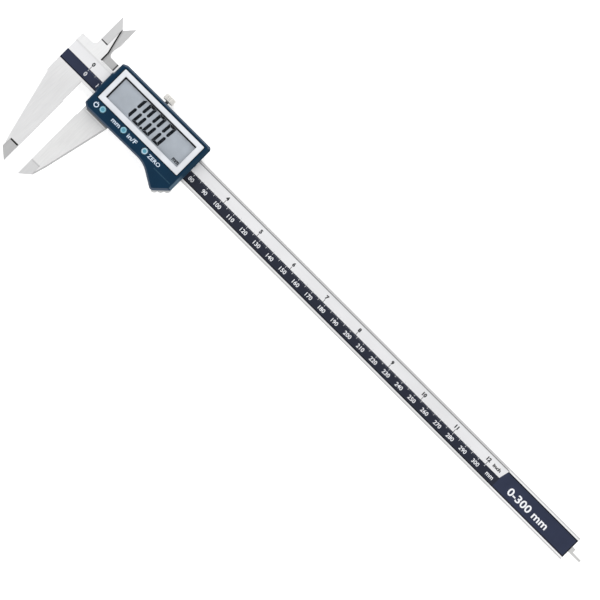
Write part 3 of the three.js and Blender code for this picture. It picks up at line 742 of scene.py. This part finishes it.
def shade_steel():
    """Tones, painted shade, shadows and highlights of the steel's ground faces, side walls and
    bevels, with grinding marks over them.
    """
    shade_jaw()
    shade_faces(BEAM_STEEL, FIXED, BEAM_ZONES)
    shade_faces(FRAME_STEEL, SLIDER, FRAME_ZONES)
    for material, tone in SLOPE_SHADE:
        overlay(material, tilted(material), grey(tone))
    for material, origin, limits, color in EDGE_SHADE_AND_HIGHLIGHT:
        overlay_tilted(material, origin, limits, color)
    for material in (BEAM_STEEL, FRAME_STEEL):
        add_streaks(material, GRINDING, dark=0.95, light=1.03)


def finish_steel():
    """Gives the CAD's metal nodes their materials and softens the edges of the larger ones."""
    shade_steel()
    looks = {
        "beam": BEAM_STEEL,
        "slider_frame": FRAME_STEEL,
        "slider_back_plate": PLATE_STEEL,
        "end_stop_plate": PLATE_STEEL,
        "depth_rod": ROD_STEEL,
        "gib_strip": BRASS,
        "battery_contact_negative": BRASS,
        "battery_contact_positive": BRASS,
        "button_cell": CELL_STEEL,
    }
    for name, material in looks.items():
        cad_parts[name].data.materials[0] = material
    for name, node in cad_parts.items():
        if "_screw" in name and name != "lock_screw":
            node.data.materials[0] = SCREW_STEEL
    widths = {
        "beam": 0.15,
        "slider_frame": 0.2,
        "slider_back_plate": 0.2,
        "end_stop_plate": 0.15,
        "depth_rod": 0.12,
    }
    for name, width in widths.items():
        soften(name, width)


def lock_screw():
    """The knurled lock screw, its axis along Y."""
    low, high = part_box("lock_screw")
    radius = (high.x - low.x) / 2 / MM
    length = (high.y - low.y) / MM
    stem, neck = 1.45, 0.95  # radii below the head
    head = length - 3.8  # where the head starts
    chamfer = 0.6
    teeth, tooth = 20, 0.36

    def knurl(angle, reach):
        """Teeth round the head's rim, and nothing nearer to the axis."""
        if reach < radius - 0.5:
            return reach
        return reach - tooth * (0.5 - 0.5 * math.cos(teeth * angle))

    profile = [
        (stem - 0.3, 0),
        (stem, 0.4),
        (stem, head - 2.2),
        (neck, head - 1.9),
        (neck, head),
        (radius - chamfer, head),
        (radius, head + 0.45),
        (radius, length - 0.5),
        (radius - chamfer, length - 0.05),
        (radius - 2 * chamfer, length),
        (0.9, length),
        (0.6, length - 0.3),
    ]
    bm = bmesh.new()
    add_turned(bm, profile, (0, 0), teeth * 6, knurl)
    bmesh.ops.rotate(bm, verts=bm.verts, matrix=Matrix.Rotation(math.radians(-90), 3, "X"))
    origin = Vector(((low.x + high.x) / 2, low.y, (low.z + high.z) / 2))
    # painted shade: the stem and neck under the head are painted near black
    shaded_stem = {"Y": (-1, head - 0.05)}
    overlay(KNOB_METAL, within(KNOB_METAL, origin, shaded_stem), grey(0.06))
    replaced = ["lock_screw"]
    piece("knurled_lock_screw", bm, origin, "lock_screw", [KNOB_METAL], replaced)


# ---------- scale ----------

# The dark band's ends keep a lighter colour than the rest: painted reflection.
BLACKER_X = (40, 316)  # where the dark band looks blacker than at its ends
BLACKER = (0.018, 0.021, 0.035)
SILVER_DROP = 0.01  # the silver band lies this much lower than the dark one
RIM, THIN_RIM = 0.65, 0.25  # widths of the film's black border
LAST_FIGURE, LAST_TICK = 300, 305
INCH, INCHES, TENTHS = 25.4, 12, 10
MM_FIGURE_Y, INCH_FIGURE_Y = -3.2, 3.4
FIGURE_HEIGHT = 2.4
# Graduations, as (length, width). The millimetre ones hang down from just below the split.
MM_BASE = FILM["split"] - 0.12
FIVE_TICK, ONE_TICK = (-1.1, 0.2), (-0.8, 0.1)
INCH_TICK, HALF_TICK, TENTH_TICK = (1.9, 0.3), (1.1, 0.1), (0.75, 0.1)


def scale_film():
    """The film in the beam's channel: a dark millimetre band and a silver inch band."""
    # painted reflection: the dark band is blacker between BLACKER_X than at its lighter ends
    overlay(FILM_DARK, within(FILM_DARK, SCALE, {"X": BLACKER_X}), BLACKER)
    left, right, half, split = FILM["left"], FILM["right"], FILM["half"], FILM["split"]
    z0, z1 = FILM_Z
    at_split, at_edge = SILVER_END
    dark = [
        (left, -half),
        (right, -half),
        (right, half),
        (at_edge, half),
        (at_split, split),
        (left, split),
    ]
    silver = [(left, split), (at_split, split), (at_edge, half), (left, half)]
    bm = bmesh.new()
    add_prism(bm, dark, z0, z1, 0)
    add_prism(bm, silver, z0, z1 - SILVER_DROP, 1)
    piece("scale_film", bm, SCALE, "beam", [FILM_DARK, FILM_SILVER], ["scale_label"])

    edges = [
        (left, right, -half, -half + RIM),
        (left, at_split, split - THIN_RIM, split),
        (at_edge, right, half - RIM, half),
        (right - RIM, right, -half, half),
    ]
    bm = bmesh.new()
    for x0, x1, y0, y1 in edges:
        add_prism(bm, rectangle(x0, x1, y0, y1), z1, z1 + INK / 3)
    piece("scale_film_rim", bm, SCALE, "beam", [FILM_RIM])


def add_tick(bm, x, base, length, width):
    """A graduation from base, as long as given: upwards, or downwards if length is negative."""
    y0, y1 = sorted((base, base + length))
    add_prism(bm, rectangle(x - width / 2, x + width / 2, y0, y1), FILM_Z[1], FILM_Z[1] + INK)


def millimetre_scale():
    """White graduations and figures on the dark band, and the generic range marking."""
    ticks, minor, figures = bmesh.new(), bmesh.new(), bmesh.new()
    for mark in range(LAST_TICK + 1):
        if mark % 5 == 0:
            add_tick(ticks, mark, MM_BASE, *FIVE_TICK)
        elif mark <= LAST_FIGURE:
            add_tick(minor, mark, MM_BASE, *ONE_TICK)
    for mark in range(0, LAST_FIGURE + 1, 10):
        centre = (mark + 0.2, MM_FIGURE_Y)
        add_figure(figures, mark, centre, FIGURE_HEIGHT, narrowing=1.02, weight=0.01)
    add_text(figures, "mm", (310.9, -3.1), (5.1, 1.8), FILM_Z[1], weight=0.012)
    add_text(figures, "0-300 mm", (339.3, -0.9), (30, 4.6), FILM_Z[1], weight=0.02)
    piece("millimetre_ticks", ticks, SCALE, "beam", [INK_WHITE])
    piece("millimetre_fine_ticks", minor, SCALE, "beam", [INK_PALE])
    piece("millimetre_figures", figures, SCALE, "beam", [INK_WHITE])


def inch_scale():
    """Dark graduations and figures on the silver band."""
    ticks, minor, figures = bmesh.new(), bmesh.new(), bmesh.new()
    for tenth in range(INCHES * TENTHS + 1):
        x = tenth * INCH / TENTHS
        if tenth % TENTHS == 0:
            add_tick(ticks, x, FILM["split"], *INCH_TICK)
        elif tenth % (TENTHS // 2) == 0:
            add_tick(minor, x, FILM["split"], *HALF_TICK)
        else:
            add_tick(minor, x, FILM["split"], *TENTH_TICK)
    for mark in range(INCHES + 1):
        shift = -0.35 if mark > 9 else 0.0  # two digits stand a little to the left
        centre = (mark * INCH + shift, INCH_FIGURE_Y)
        add_figure(figures, mark, centre, FIGURE_HEIGHT, narrowing=1.05, weight=0.055)
    add_text(figures, "inch", (311.0, 3.06), (5.6, 2.1), FILM_Z[1], weight=0.04)
    piece("inch_ticks", ticks, SCALE, "beam", [INK_GREY])
    piece("inch_fine_ticks", minor, SCALE, "beam", [INK_PALE])
    piece("inch_figures", figures, SCALE, "beam", [INK_DARK])


# ---------- housing ----------

SLOPE_LIMIT = 0.93  # faces that look up less than this are bevels or walls
SIDE_NAVY = (0.003, 0.024, 0.05)
# The painted sheen of the bevels, as (comparison, limit of the facing along Y, colour).
SHEENS = (
    ("GREATER_THAN", 0.35, (0.055, 0.08, 0.115)),
    ("LESS_THAN", -0.35, (0.055, 0.08, 0.12)),
)
# painted sheen on the right bevel beside the battery tray
WING = {"X": (63.3, 65), "Y": (-15.2, -4)}  # the right bevel, beside the battery tray
WING_FADE = (-5, -9)
WING_SHEEN = (0.07, 0.115, 0.16)
# painted sheen on the walls of the tray's seam
SEAM_EDGE = {"X": (49, 63), "Y": (-13.6, -12.6), "Z": (14, 14.59)}
SEAM_SHEEN = (0.03, 0.08, 0.13)
POCKET_Z = (12, 14.3)  # the display's pocket, below the top's edge
POCKET_SHADE = (0.0005, 0.003, 0.006)


def tray_slot(margin, steps=24):
    """The outline of the battery tray's slot: a round end about the cell, open to the right."""
    x, y = CELL
    radius = TRAY_RADIUS + margin
    arc = [math.pi / 2 + math.pi * step / steps for step in range(steps + 1)]
    outline = [(x + radius * math.cos(a), y + radius * math.sin(a)) for a in arc]
    return [*outline, (TRAY_SLOT_END, y - radius), (TRAY_SLOT_END, y + radius)]


def housing_cutters():
    """What is cut out of the housing's solid body."""
    pocket = rounded_rectangle(grown(BEZEL, POCKET_GAP), POCKET_RADIUS)
    opening = rectangle(**grown(WINDOW, CUT))
    cutters = [
        prism_cutter("hollow", housing_outline(WALL), SKIRT - CUT, ROOF),
        prism_cutter("pocket", pocket, BEZEL_Z[0], TOP + CUT),
        prism_cutter("opening", opening, ROOF - CUT, TOP + CUT / 2),
        prism_cutter("tray slot", tray_slot(TRAY_GAP), *TRAY_SLOT_Z),
        seam_cutter(**TRAY_SEAM),
    ]
    for name, x in BUTTONS.items():
        hole = circle(x, BUTTON_Y, BUTTON_HOLE)
        cutters.append(prism_cutter(name + " hole", hole, ROOF - CUT, TOP + CUT))
    return cutters


def shade_housing():
    """Paler bevels and seam walls, which are painted sheen, and a dark gap round the display's frame,
    which is painted shade.
    """
    tree = NAVY.node_tree
    overlay(NAVY, tilted(NAVY, SLOPE_LIMIT), SIDE_NAVY)
    upward = compare(tree, "GREATER_THAN", facing(NAVY, "Z"), 0.1)
    sloping = product(tree, upward, tilted(NAVY, SLOPE_LIMIT))
    for comparison, limit, color in SHEENS:
        side = compare(tree, comparison, facing(NAVY, "Y"), limit)
        overlay(NAVY, product(tree, side, sloping), color)
    wing = product(tree, within(NAVY, SLIDER, WING), sloping)
    overlay(NAVY, product(tree, fade(NAVY, SLIDER, "Y", *WING_FADE), wing), WING_SHEEN)
    overlay_tilted(NAVY, SLIDER, SEAM_EDGE, SEAM_SHEEN)
    # painted shade in the gap round the display's frame
    edge = grown(BEZEL, 2 * POCKET_GAP)
    gap = {"X": (edge["left"], edge["right"]), "Y": (edge["bottom"], edge["top"]), "Z": POCKET_Z}
    overlay(NAVY, within(NAVY, SLIDER, gap), POCKET_SHADE)


def housing():
    """The navy plastic cover of the slider, with its bevelled upper edge."""
    loops = [
        level(housing_outline(FOOT), SKIRT),
        level(housing_outline(0), SKIRT + FOOT),
    ]
    for inward, upward in EDGE:
        height = TOP - EDGE_HEIGHT * (1 - upward)
        loops.append(level(housing_outline(0, inward), height))
    loops.append(level(housing_outline(CREST, 1), TOP))
    bm = bmesh.new()
    add_loft(bm, loops)
    cover = finish_mesh(bm, "housing_cover", SLIDER)
    carve(cover, housing_cutters())
    claim(cover, "slider", [NAVY], ["housing_shell"])


def frame_loops(outer, inner, z0, z1, soft, outer_radius, inner_radius):
    """Matching loops round a flat frame's section, from its outer lower edge to its inner one.

    Soft is the width and height of its rounded upper edges, each with one point in between.
    """
    part = soft * 0.3
    return [
        level(rounded_rectangle(outer, outer_radius), z0),
        level(rounded_rectangle(outer, outer_radius), z1 - soft),
        level(rounded_rectangle(grown(outer, -part), outer_radius), z1 - part),
        level(rounded_rectangle(grown(outer, -soft), outer_radius), z1),
        level(rounded_rectangle(grown(inner, soft), inner_radius + soft), z1),
        level(rounded_rectangle(grown(inner, part), inner_radius), z1 - part),
        level(rounded_rectangle(inner, inner_radius), z1 - soft),
        level(rounded_rectangle(inner, inner_radius), z0),
    ]


def bezel():
    """The white frame round the display."""
    bm = bmesh.new()
    radii = {"outer_radius": 0.5, "inner_radius": 0.35}
    loops = frame_loops(BEZEL, WINDOW, *BEZEL_Z, soft=0.25, **radii)
    add_loft(bm, loops, capped=False, closed=True)
    piece("display_frame", bm, SLIDER, "slider", [WHITE], ["display_bezel"])


def gasket():
    """A black strip between the window and the glass, seen along the top and left edges: painted
    shadow of the frame on the display.
    """
    bm = bmesh.new()
    under_frame = grown(WINDOW, 0.8)
    radii = {"outer_radius": 0.5, "inner_radius": 0.3}
    loops = frame_loops(under_frame, WINDOW_SHADOW, *WINDOW_SHADOW_Z, soft=0.03, **radii)
    add_loft(bm, loops, capped=False, closed=True)
    piece("display_window_shadow_strip", bm, SLIDER, "slider", [WINDOW_SHADOW_BLACK])


# ---------- display ----------

DIGIT = {"width": 5, "bottom": -3.54, "top": 10, "bar": 1.75, "cap": 1.35}
MITRE_GAP = 0.07  # each segment stops this far before the corner line it shares with the next
WAIST_GAP = 0.8  # between the upper and lower segments of a side
SLANT = 0.085  # how far the digits lean to the right, for each unit of height
LIT = {"0": "abcdef", "1": "bc"}  # a is the top segment, and the letters go clockwise
DIGIT_PLACES = (("1", 17.2), ("0", 24.3), ("0", 31.6), ("0", 38.9))  # and their left edges
POINT = {"x": 30.08, "y": -2.88, "radius": 1, "steps": 4}
SEGMENT = 0.02  # thickness of the segments
UNIT = {"centre": (55.6, -2.4), "size": (4.45, 1.75)}


def segments():
    """The outlines of the segments of an upright digit whose left edge is x = 0."""
    width, bottom, top, bar, cap = DIGIT.values()
    waist = (bottom + top + WAIST_GAP) / 2
    upper_right = [
        (width, top - MITRE_GAP),
        (width - bar, top - cap - MITRE_GAP),
        (width - bar, waist + bar / 3),
        (width - bar * 2 / 3, waist),
        (width - bar / 3, waist),
        (width, waist + bar / 3),
    ]
    top_bar = [
        (MITRE_GAP, top),
        (bar + MITRE_GAP, top - cap),
        (width - bar - MITRE_GAP, top - cap),
        (width - MITRE_GAP, top),
    ]

    def mirrored(outline):
        return [(width - x, y) for x, y in outline]

    def upside_down(outline):
        return [(x, bottom + top - y) for x, y in outline]

    return {
        "a": top_bar,
        "b": upper_right,
        "c": upside_down(upper_right),
        "d": upside_down(top_bar),
        "e": mirrored(upside_down(upper_right)),
        "f": mirrored(upper_right),
    }


def reading():
    """The number on the display, 10.00, and its unit."""
    outlines = segments()
    middle = (DIGIT["bottom"] + DIGIT["top"]) / 2
    bm = bmesh.new()
    for character, left in DIGIT_PLACES:
        for name in LIT[character]:
            slanted = [(left + x + SLANT * (y - middle), y) for x, y in outlines[name]]
            add_prism(bm, slanted, LCD_FRONT, LCD_FRONT + SEGMENT)
    add_prism(bm, circle(**POINT), LCD_FRONT, LCD_FRONT + SEGMENT)
    add_text(bm, "mm", **UNIT, z=LCD_FRONT, weight=0.04)
    piece("lcd_reading", bm, SLIDER, "slider", [LCD_SEGMENT])


# ---------- buttons and legends ----------


def button(name, x):
    """A round key: a pale rim about a deeper teal face."""
    low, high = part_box(name)
    bottom, crown = low.z / MM, high.z / MM
    rim, face = 1.72, 1.05  # radii
    flange, under, over = rim + 0.45, 12.7, 13.45  # the flange inside the housing, and its heights
    profile = [
        (rim, bottom),
        (rim, under),
        (flange, under + 0.02),
        (flange, over),
        (rim, over + 0.03),
        (rim, crown - 0.4),
        (rim - 0.12, crown - 0.15),
        (rim - 0.3, crown),
        (face + 0.12, crown),
        (face, crown - 0.1),
        (face, crown - 0.4),
    ]
    dish = [
        (face - 0.01, crown - 0.38),
        (face - 0.01, crown - 0.12),
        (face * 0.6, crown - 0.17),
        (0.1, crown - 0.19),
    ]
    bm = bmesh.new()
    add_turned(bm, profile, (x, BUTTON_Y), 40)
    for inner in add_turned(bm, dish, (x, BUTTON_Y), 40):
        inner.material_index = 1
    ring = BUTTON_PALE if name == "button_zero" else BUTTON_RING
    piece(name + "_key", bm, SLIDER, name, [ring, BUTTON_FACE], [name])


def arc_band(centre, radius, width, start, end, steps=28):
    """The outline of a band that follows an arc between two angles in degrees."""
    angles = [math.radians(start + (end - start) * step / steps) for step in range(steps + 1)]
    x, y = centre
    outer, inner = radius + width / 2, radius - width / 2
    there = [(x + outer * math.cos(a), y + outer * math.sin(a)) for a in angles]
    back = [(x + inner * math.cos(a), y + inner * math.sin(a)) for a in reversed(angles)]
    return there + back


POWER_SIGN = (4.75, -10.75)
LEGENDS = (  # text, centre and size
    ("mm", (19.0, -10.6), (5.7, 1.75)),
    ("in/F", (31.1, -10.4), (6.4, 2.5)),
    ("ZERO", (47.4, -10.4), (8.5, 2.2)),
)


def add_power_sign(bm):
    """A ring that is open at its upper end, with a bar in the opening."""
    x, y = POWER_SIGN
    ring = arc_band(POWER_SIGN, radius=1.25, width=0.5, start=112, end=428)
    bar = rectangle(x - 0.23, x + 0.23, y + 0.5, y + 1.8)
    for outline in (ring, bar):
        add_prism(bm, outline, TOP, TOP + INK)


def legends():
    """The printed names of the keys."""
    bm = bmesh.new()
    add_power_sign(bm)
    for text, centre, size in LEGENDS:
        add_text(bm, text, centre, size, TOP, weight=0.012)
    piece("key_legends", bm, SLIDER, "slider", [INK_BLUISH])


# ---------- inner pieces ----------


def finish_inner_pieces():
    """Materials of the CAD nodes that only show through gaps, or with the battery tray out."""
    looks = {
        "housing_base": NAVY,
        "battery_tray": NAVY,
        "lcd_glass": LCD_GREY,
        "display_window": window_glass(),
        "zebra_strip_upper": RUBBER,
        "zebra_strip_lower": RUBBER,
        "keypad": RUBBER,
        "main_board": BOARD_GREEN,
        "reader_board": BOARD_GREEN,
        "scale_grid": BOARD_GREEN,
        "controller_chip": RESIN,
        "wiper_left": FELT,
        "wiper_right": FELT,
    }
    for name, material in looks.items():
        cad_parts[name].data.materials[0] = material
    soften("battery_tray", 0.15)


# ---------- floor, light and camera ----------

FOCUS = Vector((-14.57, 9.15, 5.5)) * MM  # the point in the middle of the picture
DISTANCE = 1.0  # metres from there to the camera
LEAN = math.radians(-4.552)  # about Y, from straight above
ROLL = math.radians(44.888)  # about the line of sight
VIEW_ANGLE = math.radians(18.56)
FLOOR = 4000  # half of the floor's side, in millimetres


def camera():
    """A long lens almost straight above, turned so that the caliper runs from corner to corner."""
    data = bpy.data.cameras.new("camera")
    data.sensor_fit = "HORIZONTAL"
    data.angle = VIEW_ANGLE
    turn = Matrix.Rotation(LEAN, 4, "Y")
    shown = bpy.data.objects.new("camera", data)
    shown.matrix_world = (
        Matrix.Translation(FOCUS)
        @ turn
        @ Matrix.Translation((0, 0, DISTANCE))
        @ Matrix.Rotation(ROLL, 4, "Z")
    )
    bpy.context.scene.collection.objects.link(shown)
    bpy.context.scene.camera = shown


def softbox(name, direction, distance, size, power):
    """An area light that looks at the caliper from direction."""
    data = bpy.data.lights.new(name, "AREA")
    data.size = size
    data.energy = power
    light = bpy.data.objects.new(name, data)
    away = Vector(direction).normalized()
    light.location = away * distance
    light.rotation_euler = (-away).to_track_quat("-Z", "Y").to_euler()
    bpy.context.scene.collection.objects.link(light)


def studio():
    """A white floor under a bright, even sky, with a key light beyond the inside jaws."""
    world = bpy.data.worlds.new("studio")
    world.use_nodes = True
    sky = world.node_tree.nodes["Background"]
    sky.inputs["Color"].default_value = (0.99, 0.99, 0.995, 1)
    sky.inputs["Strength"].default_value = 0.9
    bpy.context.scene.world = world
    bpy.context.scene.view_settings.view_transform = "Standard"
    softbox("key", direction=(-0.85, 0.85, 0.9), distance=1.6, size=0.8, power=9)
    softbox("fill", direction=(1.2, -0.4, 0.9), distance=1.8, size=1.0, power=4)

    bm = bmesh.new()
    bmesh.ops.create_grid(bm, x_segments=1, y_segments=1, size=FLOOR)
    floor = finish_mesh(bm, "floor", Vector())
    glow = {"Specular IOR Level": 0.0, "Emission Color": (1, 1, 1, 1), "Emission Strength": 0.45}
    paper = new_material("floor", (0.93, 0.93, 0.93), 0.9, 0.0, glow)
    vary_color(paper, noise(paper, even(900)), grey(0.925), grey(0.935))
    floor.data.materials.append(paper)


finish_steel()
lock_screw()
scale_film()
millimetre_scale()
inch_scale()
shade_housing()
housing()
bezel()
gasket()
reading()
for key_name, key_x in BUTTONS.items():
    button(key_name, key_x)
legends()
finish_inner_pieces()
camera()
studio()
